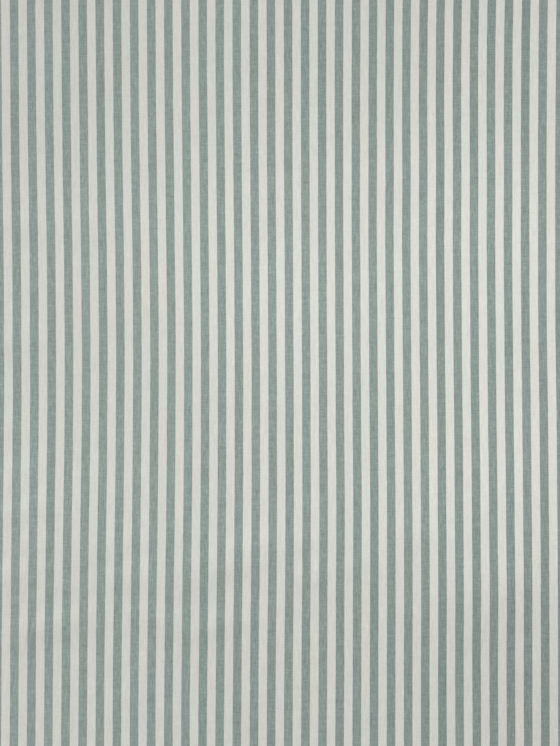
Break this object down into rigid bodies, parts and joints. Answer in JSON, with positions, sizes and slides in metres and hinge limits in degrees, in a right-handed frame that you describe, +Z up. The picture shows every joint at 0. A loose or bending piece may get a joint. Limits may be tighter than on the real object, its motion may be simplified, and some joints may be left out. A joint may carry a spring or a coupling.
{
  "type": "tablecloth",
  "caption": "Square tablecloth in even woven stripes, lying flat, with a turned-under stitched hem and mitred corners.",
  "frame": {"origin": "under the middle of the cloth, on the surface that it lies on", "axes": "+X across the woven stripes, +Y along the stripes, +Z up through the cloth"},
  "size_m": [1.3224, 1.3208, 0.0031],
  "materials": {
    "cloth": "matte plain-woven cotton in even stripes of heathered green and off-white"
  },
  "bodies": {
    "root": {"tablecloth": "cloth"}
  },
  "joints": []
}
